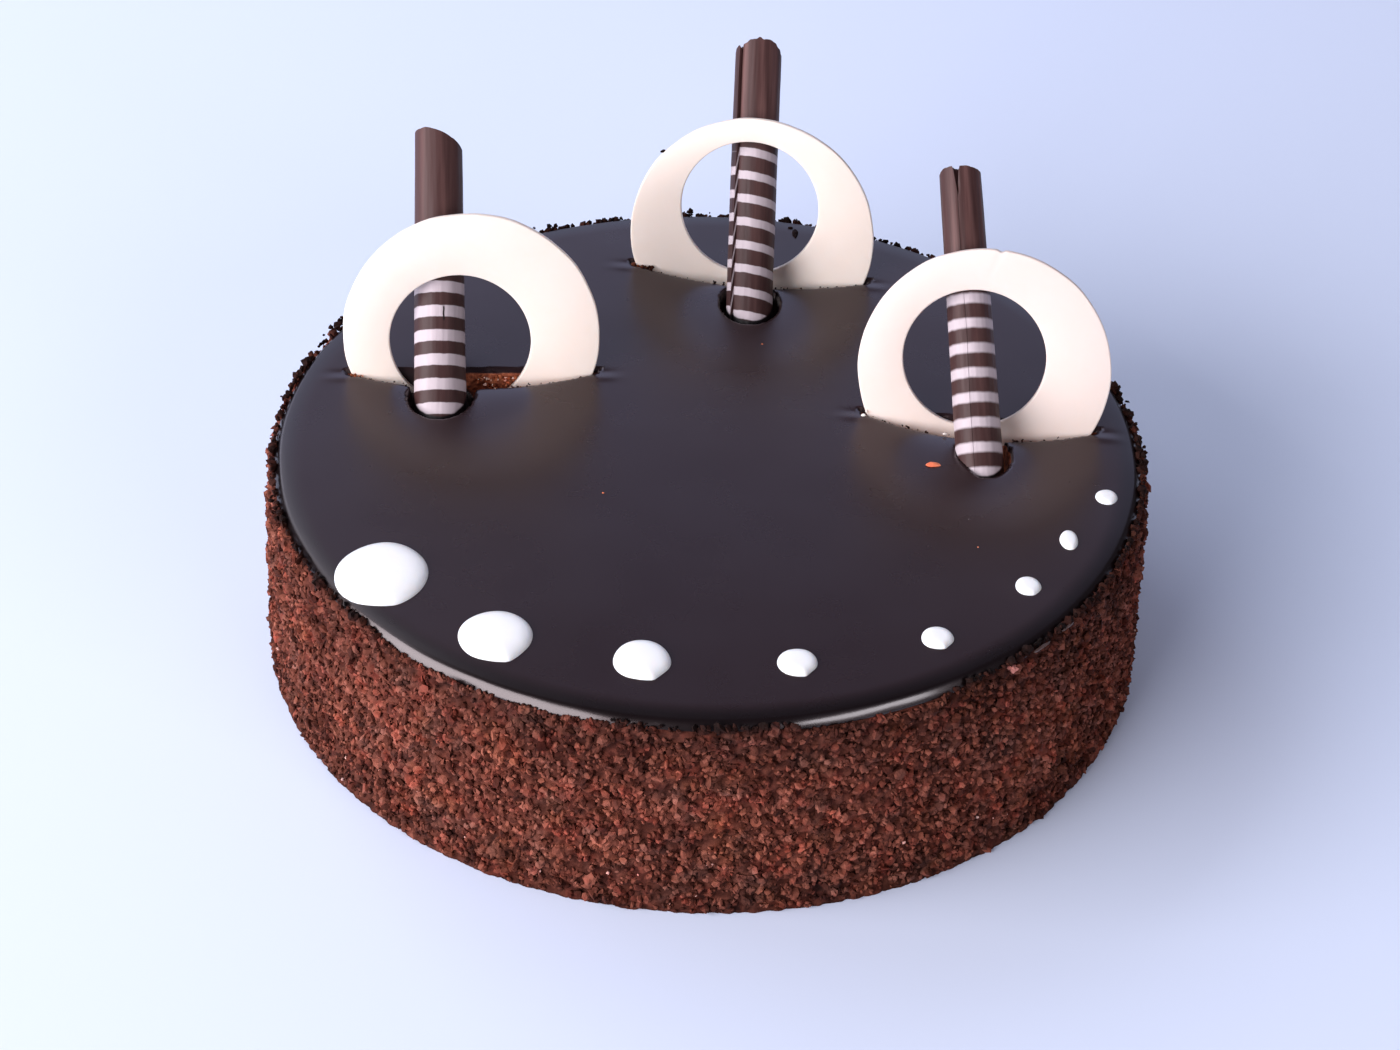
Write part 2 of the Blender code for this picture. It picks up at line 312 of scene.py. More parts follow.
def makeStudio():
    world = bpy.data.worlds.new("surround")
    world.use_nodes = True
    background = world.node_tree.nodes["Background"]
    background.inputs["Color"].default_value = (*studio["surround"], 1.0)
    background.inputs["Strength"].default_value = studio["surroundStrength"]
    bpy.context.scene.world = world
    for name, light in studio["lights"].items():
        softLight(name, *light)
    finish = Finish("floorPaint", Roughness=0.7)
    pale = [tuple(share * c for c in studio["floor"]) for share in (1.0, 0.97)]
    finish.set("Base Color", finish.mix(finish.noise(finish.coords(), 3.0), *pale))
    half, level = studio["floorHalf"], -studio["floorBelow"]
    corners = [(-half, -half, level), (half, -half, level), (half, half, level), (-half, half, level)]
    meshPiece("floor", corners, [np.array([[0, 1, 2, 3]])], finish.material)


makeStudio()
bpy.context.scene.view_settings.view_transform = "Standard"


# Finishes

crumbPatches = [
    # noise scale and detail, the values between which a patch sets in, what it multiplies by
    (210.0, 2.0, 0.5, 0.75, (1.25, 0.80, 0.78)),  # red
    (90.0, 3.0, 0.52, 0.75, (1.10, 1.02, 0.82)),  # brown
    (135.0, 2.0, 0.5, 0.7, (0.84, 1.06, 1.20)),  # grey
]
crumbShade = {
    # painted shade on the crumbs, each as the heights between which it changes, and its values there
    "spots": (5 * mm, 40 * mm, 0.85, 0.45),
    "foot": (0.0, 16 * mm, 0.76, 1.0),
    "edge": (coatTop + 0.4 * mm, coatTop + 1.6 * mm, 1.0, 0.3),
    "shadeUnderGlaze": (coatTop - 15 * mm, coatTop - 3 * mm, 0.0, 0.4),
    "shadeUnderGlazeFrom": (-92 * mm, -62 * mm),  # the left, where the painted shade under the glaze sets in
}


def crumbFinish(name, stops, tone=0.5, shaded=True):
    # every crumb has its own tone; patches lean to red, brown or grey; painted dark spots, shade in the
    # gaps between crumbs and most of them low on the side, break them up; painted shade darkens the side
    # at its foot, on crumbs past the coat's top and, except on the left, towards the glaze
    finish = Finish(name, Roughness=0.82)
    finish.set("Specular IOR Level", 0.12)
    coords = finish.coords()
    grain = finish.noise(coords, 500.0, 3.0, 0.6)
    patch = finish.noise(coords, 60.0, 2.0)
    value = finish.attribute("tint") * tone + grain * 0.54 + patch * 0.34 - 0.17
    colour = finish.ramp(stops, value)
    for scale, detail, low, high, multiply in crumbPatches:
        area = finish.between(finish.noise(coords, scale, detail), low, high)
        colour = finish.mix(area, colour, multiply, "MULTIPLY")
    if shaded:
        # painted shade: dark spots for shaded gaps, and darkening at the foot, past the coat's top and
        # under the glaze
        height = finish.axis(coords, "Z")
        spot = finish.between(finish.noise(coords, 280.0, 3.0, 0.6), 0.35, 0.46, 1.0, 0.0)
        spot = spot * finish.between(height, *crumbShade["spots"])
        colour = finish.mix(spot, colour, (0.30, 0.24, 0.26), "MULTIPLY")
        shade = finish.between(height, *crumbShade["foot"])
        shade = shade * finish.between(height, *crumbShade["edge"])
        # painted shade: a band of the side under the glaze is darkened, except on the left
        shadeUnderGlaze = finish.between(height, *crumbShade["shadeUnderGlaze"])
        shadeUnderGlaze = shadeUnderGlaze * finish.between(finish.axis(coords, "X"), *crumbShade["shadeUnderGlazeFrom"])
        colour = finish.mix(1.0, colour, shade * (1.0 - shadeUnderGlaze), "MULTIPLY")
    finish.set("Base Color", colour)
    finish.bump(finish.noise(coords, 1200.0, 3.0, 0.6), 0.4 * mm, 0.6)
    return finish.material


coatStops = [
    (0.0, (0.012, 0.0023, 0.0014)),
    (0.3, (0.055, 0.0126, 0.0072)),
    (0.6, (0.172, 0.0500, 0.0315)),
    (0.85, (0.290, 0.094, 0.062)),
    (1.0, (0.440, 0.175, 0.125)),
]
spongeStops = [
    (0.0, (0.030, 0.006, 0.003)),
    (0.4, (0.300, 0.075, 0.030)),
    (0.75, (0.580, 0.190, 0.085)),
    (1.0, (0.950, 0.720, 0.600)),
]


def glazeFinish():
    # near-black and satin, with painted shade darkening it towards the rim, and glossier on its bare
    # stretches; in the slits, below the sheet's own thickness, it is torn sponge
    finish = Finish("darkGlaze", IOR=1.46, Coat_Roughness=0.16, Coat_IOR=1.5)
    finish.set("Specular Tint", (1.0, 0.82, 0.84, 1.0))
    finish.set("Coat Weight", finish.attribute("shine"))
    coords = finish.coords()
    lower, upper = glazeSheet["spongeFrom"]
    torn = finish.between(finish.axis(coords, "Z"), glazeTop - lower, glazeTop - upper, 1.0, 0.0)
    torn = torn * finish.attribute("torn")
    cloud = finish.noise(coords, 14.0, 3.0)
    dark = finish.mix(cloud, (0.0100, 0.0036, 0.0046), (0.0160, 0.0074, 0.0084))
    # painted shade: nearly black towards and over the rim, following the verge attribute
    dark = finish.mix(finish.attribute("verge") * 0.85, dark, (0.0015, 0.0008, 0.0010))
    grain = finish.noise(coords, 700.0, 3.0, 0.7)
    sponge = finish.ramp(spongeStops, grain * 1.5 - 0.35)
    finish.set("Base Color", finish.mix(torn, dark, sponge))
    smear = finish.noise(coords, 45.0, 4.0, 0.6)
    finish.set("Roughness", 0.23 + smear * 0.1 + torn * 0.55)
    ripple = finish.noise(coords, 22.0, 2.0, 0.4)
    finish.bump(ripple + grain * torn * 0.4, 1.2 * mm, 0.25)
    return finish.material


def whiteFinish(name, colour, warm, roughness, clouding=0.4, soft=0.0):
    # a pale, slightly clouded and satin sweet coating; light spreads a little inside it
    finish = Finish(name, Roughness=roughness, Subsurface_Weight=soft, Subsurface_Scale=1.2 * mm)
    finish.set("Subsurface Radius", (1.0, 0.85, 0.75))
    coords = finish.coords()
    cloud = finish.noise(coords, 70.0, 4.0, 0.6)
    finish.set("Base Color", finish.mix(cloud * clouding, colour, warm))
    finish.bump(finish.noise(coords, 320.0, 3.0), 0.15 * mm, 0.35)
    return finish.material


rollStops = [(0.3, (0.012, 0.0040, 0.0038)), (0.5, (0.052, 0.0205, 0.0190)), (0.7, (0.170, 0.082, 0.074))]


def rollFinish(name, looks):
    # milky dark chocolate, streaked lengthwise; white bands repeat along the lower part of the roll
    finish = Finish(name)
    finish.set("Specular IOR Level", 0.25)
    local = finish.attribute("local", "Vector")
    band = finish.attribute("band")
    lengthwise = finish.add("ShaderNodeVectorMath", {"operation": "MULTIPLY"}, {0: local, 1: (1, 1, 0.05)})
    streak = finish.noise(lengthwise, 460.0, 3.0, 0.6)
    broad = finish.noise(lengthwise, 170.0, 2.0, 0.5)
    ragged = finish.noise(local, 500.0, 2.0)
    turned = (band + (ragged + broad) * (0.4 * mm) - looks["start"] - 0.4 * mm) / looks["pitch"]
    edge = abs(finish.maths("FRACT", turned + 20.5) - 0.5)
    half = looks["share"] / 2
    white = finish.between(edge, half - looks["soft"], half + looks["soft"], 1.0, 0.0)
    banded = finish.between(band, looks["stop"] - 0.2 * mm, looks["stop"] + 0.2 * mm, 1.0, 0.0)
    dark = finish.ramp(rollStops, streak * 0.5 + broad * 0.5)
    plain = finish.mix(banded, (0.060, 0.0260, 0.0240), (0.039, 0.0155, 0.0150))
    dark = finish.mix(1.0 - (1.0 - banded * 0.65) * looks["streaks"], dark, plain)
    pale = finish.mix(streak, (0.50, 0.425, 0.455), (0.40, 0.335, 0.36))
    colour = finish.mix(white * banded, dark, pale)
    for across, low, high in looks.get("cracks", []):
        # a hairline along the roll's front between two distances from the glaze
        beside = abs(finish.axis(local, "X") + ragged * (0.5 * mm) - across)
        within = abs(finish.axis(local, "Z") - (low + high) / 2)
        line = finish.between(beside, 0.14 * mm, 0.26 * mm, 1.0, 0.0)
        line = line * finish.between(within, (high - low) / 2 - 0.5 * mm, (high - low) / 2, 1.0, 0.0)
        front = finish.maths("LESS_THAN", finish.axis(local, "Y"), 0.0)
        colour = finish.mix(line * front, colour, (0.010, 0.005, 0.005))
    # painted shade: near-black below a depth under the glaze's top, where the hole's shade falls on the
    # roll
    height = finish.axis(finish.coords(), "Z") + (looks["sunk"] - glazeTop)
    sunk = finish.between(height, -0.3 * mm, 0.0, 1.0, 0.0)
    colour = finish.mix(sunk, colour, (0.004, 0.002, 0.003))
    finish.set("Base Color", colour)
    finish.set("Roughness", 0.42 + streak * 0.18)
    finish.bump(streak, 0.3 * mm, 0.5)
    return finish.material


# Crumb coat

print("crumb coat")
coat = {
    "columns": 1040,
    "rows": 78,
    "skirt": 0.8 * mm,  # how far the foot spreads
    "skirtHeight": 2.5 * mm,
    "swell": 0.35 * mm,  # slow unevenness of the side
    "coarseCell": 2.3 * mm,
    "coarseHeight": 1.0 * mm,
    "fineCell": 1.1 * mm,
    "fineHeight": 0.55 * mm,
    "sink": 0.75 * mm,  # the bed's mean height, taken off again
    "collar": 0.3 * mm,  # how far it rises behind the glaze's edge
    "dish": 12 * mm,  # depth of the top under the glaze, below its openings
    "settle": 0.012,  # share of its height that it loses where the glaze's edge is bare
}
bareEdge = {
    # where crumbs leave the glaze's edge bare, and the stretch between: start and end in degrees
    # round the cake, each with the degrees that the change takes
    "bare": ((220, 11), (306, 8)),
    "between": ((256, 4), (284, 4)),
}
coatFinish = crumbFinish("crumbCoat", coatStops)


def coatRadius(angle, height):
    # mean radius at a height, plus slow swelling and two beds of crumbs, coarse and fine
    share = height / coatTop
    mean = footRadius + (rimRadius - footRadius) * share
    mean = mean + coat["skirt"] * np.clip(1 - height / coat["skirtHeight"], 0, 1) ** 2
    swell = coat["swell"] * softNoise(angle / tau * 24, height / (18 * mm) + 3, 21, 24)
    relief, tone = 0.0, 0.0
    for cell, tall, seed in ((coat["coarseCell"], coat["coarseHeight"], 31),
                             (coat["fineCell"], coat["fineHeight"], 32)):
        around = int(tau * rimRadius / cell)
        bed, owner = crumbBed(angle / tau * around, height / cell + 9, seed, around)
        relief = relief + tall * bed
        # each crumb's random tone, weighted by its height, so the gaps between crumbs come out darker:
        # partly its own tone, partly painted shade
        tone = tone + 0.5 * owner * bed
    calm = 0.45 + 0.55 * smoothStep(height / (4 * mm))
    return mean + swell + (relief - coat["sink"]) * calm, tone


def stretch(azimuth, start, end):
    # 1 between two places round the cake, 0 away from them
    return smoothStep((azimuth - start[0]) / start[1]) * smoothStep((end[0] - azimuth) / end[1])


def bareRim(angle):
    # 1 along the two stretches of the glaze's edge, in front, that crumbs leave bare; 1 along the
    # stretch between them; and the place round the cake in degrees from 0 to 360
    azimuth = (np.degrees(angle) + 360) % 360
    between = stretch(azimuth, *bareEdge["between"])
    return stretch(azimuth, *bareEdge["bare"]) * (1 - between), between, azimuth


def makeCoat():
    # rows of points round the cake from the foot to the top, the radius given by coatRadius, a
    # little lower where the glaze's edge is bare; the top rises behind that edge, turns in, drops
    # to a dish, and both ends close on a centre point
    columns, rows = coat["columns"], coat["rows"]
    angle, height = np.meshgrid(np.arange(columns) * tau / columns, np.linspace(0, coatTop, rows))
    radius, tone = coatRadius(angle, height)
    radius[-1] = np.minimum(radius[-1], glazeRadius)
    height = height * (1 - coat["settle"] * bareRim(angle)[0])
    points = roundAxis(radius, angle, height).reshape(-1, 3)
    collar = points[-columns:] * (0.99, 0.99, 1.0) + (0, 0, coat["collar"])
    inner = collar * (0.96, 0.96, 1.0)
    sunk = inner * (0.99, 0.99, 1.0) - (0, 0, coat["dish"])
    ends = [(0, 0, 0), (0, 0, coatTop - coat["dish"])]
    count = rows * columns
    points = np.concatenate([points, collar, inner, sunk, ends])
    faces = [gridQuads(rows + 3, columns), fan(columns, 0, count + 3 * columns, False),
             fan(columns, count + 2 * columns, count + 3 * columns + 1)]
    # painted shade: lighter where the coat stands out, darker in its pits
    pitShade = np.clip((radius - radius.mean(1, keepdims=True)) / (1.2 * mm) + 0.4, 0, 1)
    tint = np.concatenate([(0.3 * tone + 0.35 * pitShade).ravel(), np.full(3 * columns + 2, 0.2)])
    place(meshPiece("crumbCoat", points, faces, coatFinish, tint=tint), "crumb", "cake_body")


makeCoat()

# Crumbs pressed onto the coat, one piece for each size

print("pressed-on crumbs")
crumbs = {
    # name: how many, size from and to, fineness of a crumb, how far its middle stands out of the
    # coat as a share of its size, seed
    "crumbsFine": (8600, 0.40 * mm, 0.68 * mm, 1, 0.5, 41),
    "crumbsMedium": (8200, 0.58 * mm, 1.00 * mm, 1, 0.35, 42),
    "crumbsLarge": (7400, 0.74 * mm, 1.25 * mm, 1, 0.15, 43),
    "crumbsCoarse": (1700, 1.05 * mm, 1.50 * mm, 2, -0.05, 44),
    "crumbsProud": (620, 0.35 * mm, 0.75 * mm, 1, 1.1, 48),
}


def lumpShape(fineness):
    # corners and triangles of a ball of 20 or 80 faces
    ball = bmesh.new()
    bmesh.ops.create_icosphere(ball, subdivisions=fineness, radius=1.0)
    corners = np.array([vertex.co[:] for vertex in ball.verts])
    faces = np.array([[vertex.index for vertex in face.verts] for face in ball.faces])
    ball.free()
    return corners, faces


def turns(random, count):
    # random turns in space, from unit quaternions
    quaternions = random.normal(size=(4, count))
    w, x, y, z = quaternions / np.sqrt((quaternions ** 2).sum(0))
    return np.stack([
        np.stack([1 - 2 * (y * y + z * z), 2 * (x * y - w * z), 2 * (x * z + w * y)], -1),
        np.stack([2 * (x * y + w * z), 1 - 2 * (x * x + z * z), 2 * (y * z - w * x)], -1),
        np.stack([2 * (x * z - w * y), 2 * (y * z + w * x), 1 - 2 * (x * x + y * y)], -1),
    ], -2)


def lumps(random, places, sizes, fineness):
    # one ball for each place, its corners pushed in and out, squeezed unevenly and turned at random,
    # and none of it under the cake's foot
    corners, faces = lumpShape(fineness)
    count = len(places)
    bulge = random.uniform(0.55, 1.3, (count, len(corners), 1))
    squeeze = random.uniform(0.5, 1.3, (count, 1, 3))
    shapes = corners[None] * bulge * squeeze * np.reshape(sizes, (-1, 1, 1))
    shapes = np.einsum("nij,nkj->nki", turns(random, count), shapes) + places[:, None, :]
    shapes[..., 2] = np.maximum(shapes[..., 2], 0.05 * mm)
    numbers = faces[None] + (np.arange(count) * len(corners))[:, None, None]
    return shapes.reshape(-1, 3), numbers.reshape(-1, 3), len(corners)


def lumpPiece(name, shapes, tones, finish=coatFinish, smooth=False):
    # one piece of many lumps, each with its own tone
    points, faces, corners = shapes
    place(meshPiece(name, points, [faces], finish, smooth, tint=np.repeat(tones, corners)), "crumb")


def crumbTop(angle):
    # how far the crumbs climb past the coat's top: least along the bare stretches, less on the right
    # and at the back than on the left
    bare, between, azimuth = bareRim(angle)
    lower = 0.6 * bare * smoothStep((azimuth - 270) / 10)
    lower += smoothStep((azimuth - 316) / 20) + smoothStep((150 - azimuth) / 20)
    ragged = 0.3 * noiseRound(angle, 150, 49)
    return (2.5 - 2.5 * bare - 0.3 * between - lower + ragged) * mm


def makeCrumbs(name, count, small, large, fineness, proud, seed):
    # crumbs scattered over the side, sunk into the coat apart from a share of their size, and darker
    # where they climb past its top: painted shade under the glaze's edge
    random = np.random.default_rng(seed)
    angle = random.uniform(0, tau, count)
    height = random.uniform(0.4 * mm, coatTop + 2 * mm, count)
    sizes = small + (large - small) * random.random(count) ** 1.6
    height = np.clip(height, sizes * 1.1, coatTop + crumbTop(angle) - 0.7 * sizes)
    radius = coatRadius(angle, np.minimum(height, coatTop))[0] + sizes * proud
    radius = np.where(height > coatTop - 0.5 * mm, np.minimum(radius, rimRadius - 0.3 * mm), radius)
    shapes = lumps(random, roundAxis(radius, angle, height), sizes, fineness)
    # painted shade: lower tones for crumbs that climb past the coat's top, except on the bare stretches
    climb = smoothStep((height - coatTop + 1 * mm) / (2 * mm)) * (1 - bareRim(angle)[0])
    lumpPiece(name, shapes, random.random(count) ** 1.3 - 0.4 * climb, smooth=small < 0.5 * mm)


rimCrumbs = {
    "count": 700,
    "azimuth": (-10, 200),  # degrees, from the right round the back to the left
    "patches": 40,
    "radius": (100.5, 101.5),
    "above": (-0.4, 2.3),  # over the coat's top
    "size": (0.35, 0.85),
}
paleCrumbs = {
    "count": 46,
    "height": (1.0, 16.0),
    "size": (0.18, 0.34),
    "pinkAzimuth": (-92.1, -49.2),  # degrees, of the two pinkish ones
    "pinkHeight": (37.6, 48.6),
    "pinkSize": (0.75, 1.15),
    "pinkTone": (0.5, 0.0),
}
paleStops = [(0.1, (0.26, 0.10, 0.085)), (0.5, (0.62, 0.24, 0.20)), (1.0, (0.85, 0.66, 0.55))]


def makeRimCrumbs():
    # dark crumbs that stand past the glaze's edge, in patches on the left and at the back
    random = np.random.default_rng(45)
    angle = np.radians(random.uniform(*rimCrumbs["azimuth"], rimCrumbs["count"]))
    patch = noiseRound(angle, rimCrumbs["patches"], 46)
    fewer = 0.28 * smoothStep((150 - np.degrees(angle)) / 25)
    angle = angle[patch * 0.6 + random.uniform(-0.3, 0.3, len(angle)) > 0.12 + fewer]
    count = len(angle)
    sizes = random.uniform(*rimCrumbs["size"], count) * mm
    radius = random.uniform(*rimCrumbs["radius"], count) * mm
    height = coatTop + random.uniform(*rimCrumbs["above"], count) * mm
    shapes = lumps(random, roundAxis(radius, angle, height), sizes, 1)
    # painted shade: low tones, dark as if in shadow against the bright background
    lumpPiece("crumbsRim", shapes, 0.2 * random.random(count) - 0.25)


def makePaleCrumbs():
    # a few pale specks low on the side, and two pinkish crumbs at their own places
    random = np.random.default_rng(47)
    count = paleCrumbs["count"]
    angle = np.append(random.uniform(0, tau, count), np.radians(paleCrumbs["pinkAzimuth"]))
    height = np.append(random.uniform(*paleCrumbs["height"], count), paleCrumbs["pinkHeight"]) * mm
    sizes = np.append(random.uniform(*paleCrumbs["size"], count), paleCrumbs["pinkSize"]) * mm
    radius = coatRadius(angle, height)[0] + 0.6 * mm
    shapes = lumps(random, roundAxis(radius, angle, height), sizes, 2)
    tones = np.append(random.uniform(0.6, 1.0, count), paleCrumbs["pinkTone"])
    lumpPiece("crumbsPale", shapes, tones, crumbFinish("paleCrumb", paleStops, shaded=False))


for name, values in crumbs.items():
    makeCrumbs(name, *values)
makeRimCrumbs()
makePaleCrumbs()

# Glaze

print("glaze")
plates = {
    # the same frames as the plates' solids: foot on the glaze, turn and lean in degrees; the disc's
    # radius and its middle's rise; the hole's middle and radius; how far the slit's lip bows; a nick
    "ring_left": dict(foot=(-56.5, 24.2), turn=3.2, lean=11.0, radius=30.3, rise=9.6,
                      hole=(-2.7, 8.1), holeRadius=16.7, bow=5.2),
    "ring_centre": dict(foot=(9.2, 71.6), turn=-5.6, lean=12.0, radius=30.4, rise=9.6,
                        hole=(-0.9, 17.05), holeRadius=17.1, bow=4.8),
    "ring_right": dict(foot=(63.4, 9.7), turn=-5.6, lean=16.0, radius=29.4, rise=12.6,
                       hole=(-2.5, 15.5), holeRadius=16.6, bow=5.6, nick=87.0),
}
sticks = {
    # foot on the glaze, lean and heading in degrees, length over the glaze, radii at foot and top,
    # the seam's place, the cut's slopes; the hole's middle and half widths, how much the glaze sags
    # round it, from which x its wall is torn (never at 999), where a straight lip hangs over it
    "stick_left": dict(foot=(-63.7, 18.0), lean=43.0, heading=-3.7, length=58.6,
                       radii=(6.1, 5.65), seam=90.0, cut=(0.35, 0.37),
                       hole=(-63.2, 16.2), holeHalf=(7.7, 10.6), sag=0.5, torn=999.0),
    "stick_centre": dict(foot=(9.4, 60.5), lean=41.5, heading=0.8, length=60.4,
                         radii=(5.65, 5.7), seam=217.0, cut=(0.04, 0.72),
                         hole=(9.4, 59.1), holeHalf=(7.3, 9.9), sag=0.5, torn=999.0),
    "stick_right": dict(foot=(62.7, -1.0), lean=45.0, heading=-6.8, length=65.5,
                        radii=(5.45, 4.8), seam=247.0, cut=(0.05, 0.1),
                        hole=(63.9, -2.2), holeHalf=(6.0, 9.3), sag=0.15, torn=65.5,
                        overhang=(57.8, -3.3)),
}
plateThickness = 1.6 * mm
slit = {
    "gap": 0.2 * mm,  # room before and behind the plate
    "overrun": 0.5 * mm,  # how far it runs past the plate's ends
    "tail": 1.2 * mm,  # length over which its ends close
    "lipFacing": (-0.886, -0.464),  # the way a stick's overhanging lip faces
}
glazeSheet = {
    "columns": 300,
    "edge": 97.0 * mm,  # where the flat top meets the rounded rim
    "lip": 0.45 * mm,  # width over which a torn lip falls
    "spongeFrom": (1.7 * mm, 1.3 * mm),  # depths between which torn sponge turns into glaze
    "trough": 5.0 * mm,  # depth of a slit behind its lip
    "well": 5.0 * mm,  # further depth of a stick's hole
    "sag": 0.75 * mm,  # how far the glaze is dragged down in front of a slit
    "sagReach": 3.2 * mm,
    "pucker": 0.12 * mm,  # how far it is pinched up at a slit's ends
    "verge": (93.5 * mm, 98.0 * mm, 0.25 * mm),  # radii between which it sinks to the rim; how deep
    "underside": (93.0 * mm, 11.0 * mm),  # radius and depth of its closed underside, in the coat's dish
}
rim = {
    # the rim's profile: which way it faces, in degrees above level, and the length of each step
    "facing": (76, 68, 60, 52, 46, 42, 39, 36, 34, 32, 30, 28, 26, 12, -6, -24),
    "steps": (0.2,) * 5 + (0.26,) * 8 + (0.08,) * 3,
    "wavy": 0.22 * mm,  # how far it wanders in and out
    "drip": 1.1 * mm,  # how far the small drips may hang
    "oneDrip": (-88.7, 0.9 * mm),  # degrees, and how far it hangs
    "shine": (0.35, 1.0),  # on the left bare stretch and on the right one
}


def plateHalf(plate):
    # half the plate's width where it meets the glaze, in millimetres
    return math.sqrt(plate["radius"] ** 2 - plate["rise"] ** 2)


def slitDistance(x, y, plate):
    # distance outside a slit, negative inside: behind its bowed near lip, before its straight far one
    turn = math.radians(plate["turn"])
    awayX, awayY = x - plate["foot"][0] * mm, y - plate["foot"][1] * mm
    across = awayX * math.cos(turn) + awayY * math.sin(turn)
    away = -awayX * math.sin(turn) + awayY * math.cos(turn)
    half = plateHalf(plate) * mm + slit["overrun"]
    back = plateThickness / math.cos(math.radians(plate["lean"])) + slit["gap"]
    bowed = -slit["gap"] - plate["bow"] * mm * (1 - (across / half) ** 2)
    ends = -slit["gap"] + (back + slit["gap"]) * (np.abs(across) - half) / slit["tail"]
    front = np.where(np.abs(across) < half, bowed, ends)
    return np.maximum(front - away, away - back), front - away, across, away, half


def holeDistance(x, y, stick):
    # distance outside the stick's oval hole, negative inside; a lip may hang over its left front
    centre, halves = np.array(stick["hole"]) * mm, np.array(stick["holeHalf"]) * mm
    distance = (np.hypot((x - centre[0]) / halves[0], (y - centre[1]) / halves[1]) - 1) * halves.min()
    if "overhang" in stick:
        awayX, awayY = x - stick["overhang"][0] * mm, y - stick["overhang"][1] * mm
        distance = np.maximum(distance, slit["lipFacing"][0] * awayX + slit["lipFacing"][1] * awayY)
    return distance


def verge(radius):
    # how far the glaze sinks on its way to the rim, growing as the square of the way
    start, end, deep = glazeSheet["verge"]
    return deep * (np.clip(radius - start, 0, None) / (end - start)) ** 2


def glazeHeight(x, y):
    # height: flat, dragged down in front of each slit and round each hole, pinched at a slit's ends,
    # and falling over its lips into the openings; torn: 1 away from the sticks' smooth-walled holes
    # and on the torn side of one of them, 0 on the left of the left stick and in the far slit
    drop, torn = np.zeros(np.shape(x)), np.ones(np.shape(x))
    outside, well = np.full(np.shape(x), 1.0), np.full(np.shape(x), 1.0)
    for plate in plates.values():
        distance, before, across, away, half = slitDistance(x, y, plate)
        outside = np.minimum(outside, distance)
        within = smoothStep(1.25 - np.abs(across) / half)
        near = np.exp(-np.clip(before, 0, None) / glazeSheet["sagReach"])
        drop += glazeSheet["sag"] * near * within * (away < 1 * mm)
        ends = np.exp(-((np.abs(across) - half - 1.5 * mm) / (3.5 * mm)) ** 2)
        drop -= glazeSheet["pucker"] * ends * np.exp(-((away + 2.2 * mm) / (1.3 * mm)) ** 2)
        drop += 0.8 * glazeSheet["pucker"] * ends * np.exp(-((away - 0.4 * mm) / (1.2 * mm)) ** 2)
    for stick in sticks.values():
        distance = holeDistance(x, y, stick)
        outside = np.minimum(outside, distance)
        well = np.minimum(well, distance + 0.6 * mm)
        drop += stick["sag"] * glazeSheet["sag"] * np.exp(-np.clip(distance, 0, None) / (1.4 * mm))
        wall = smoothStep((distance - 0.2 * mm) / (0.5 * mm))
        torn = np.minimum(torn, np.maximum(wall, smoothStep(x / mm - stick["torn"])))
    inside = smoothStep(0.5 - outside / glazeSheet["lip"])
    deep = glazeSheet["trough"] * inside + glazeSheet["well"] * smoothStep(0.5 - well / glazeSheet["lip"])
    # painted shade: dark glaze instead of torn sponge on the left of the left stick, where it lies in
    # shadow; no sponge in the far slit either
    torn = np.minimum(torn, np.clip(np.abs(x / mm + 70.0) - 7.0, 0, 1)) * (y < 40 * mm)
    sunk = np.minimum(drop, 1.2 * mm) * (1 - inside) + deep + verge(np.hypot(x, y))
    return glazeTop - sunk, torn


def glazeRows(edge):
    # the chords' places from front to back: even steps round the edge at both ends, close rows
    # over the slits
    front = -edge * np.cos(np.radians(np.arange(0.5, 81.0, 1.1)))
    back = edge * np.cos(np.radians(np.arange(36.0, 0.4, -1.0)))
    middle = [np.arange(-15.0, 31.0, 0.45), np.arange(31.0, 48.0, 1.7), np.arange(48.0, 78.0, 0.45)]
    middle = np.concatenate(middle) * mm
    return np.concatenate([front[front < middle[0] - 0.3 * mm], middle, back[back > middle[-1] + 0.5 * mm]])


def rimRows(angle):
    # radius and depth of the rim's rows round the cake: a profile built up step by step from the way
    # it faces, which wanders and drips, then runs in to an underside below the openings
    facing, steps = np.radians(rim["facing"]), np.array(rim["steps"]) * mm
    out, down = np.cumsum(steps * np.sin(facing)), np.cumsum(steps * np.cos(facing))
    out = glazeRadius - out.max() + out
    wavy = rim["wavy"] * (noiseRound(angle, 40, 52) + 0.15 * noiseRound(angle, 130, 53))
    drip = rim["drip"] * np.clip(noiseRound(angle, 60, 54) - 0.35, 0, 1)
    where, hang = rim["oneDrip"]
    drip += hang * np.exp(-((angle - math.radians(where)) / 0.008) ** 2)
    bulge = smoothStep((out - 97.6 * mm) / (2 * mm))[:, None]
    lower = smoothStep(down / down.max() * 1.6 - 0.6)[:, None]
    start, edge, (under, deep) = out[0] - 0.3 * mm, glazeSheet["edge"], glazeSheet["underside"]
    flat = np.ones((1, len(angle)))
    radius = np.concatenate([flat * start, out[:, None] + wavy * bulge, flat * edge, flat * under,
                             flat * under])
    level = np.concatenate([flat * 0, down[:, None] + drip * lower, flat * down[-1], flat * down[-1],
                            flat * deep])
    return radius, level + verge(start)


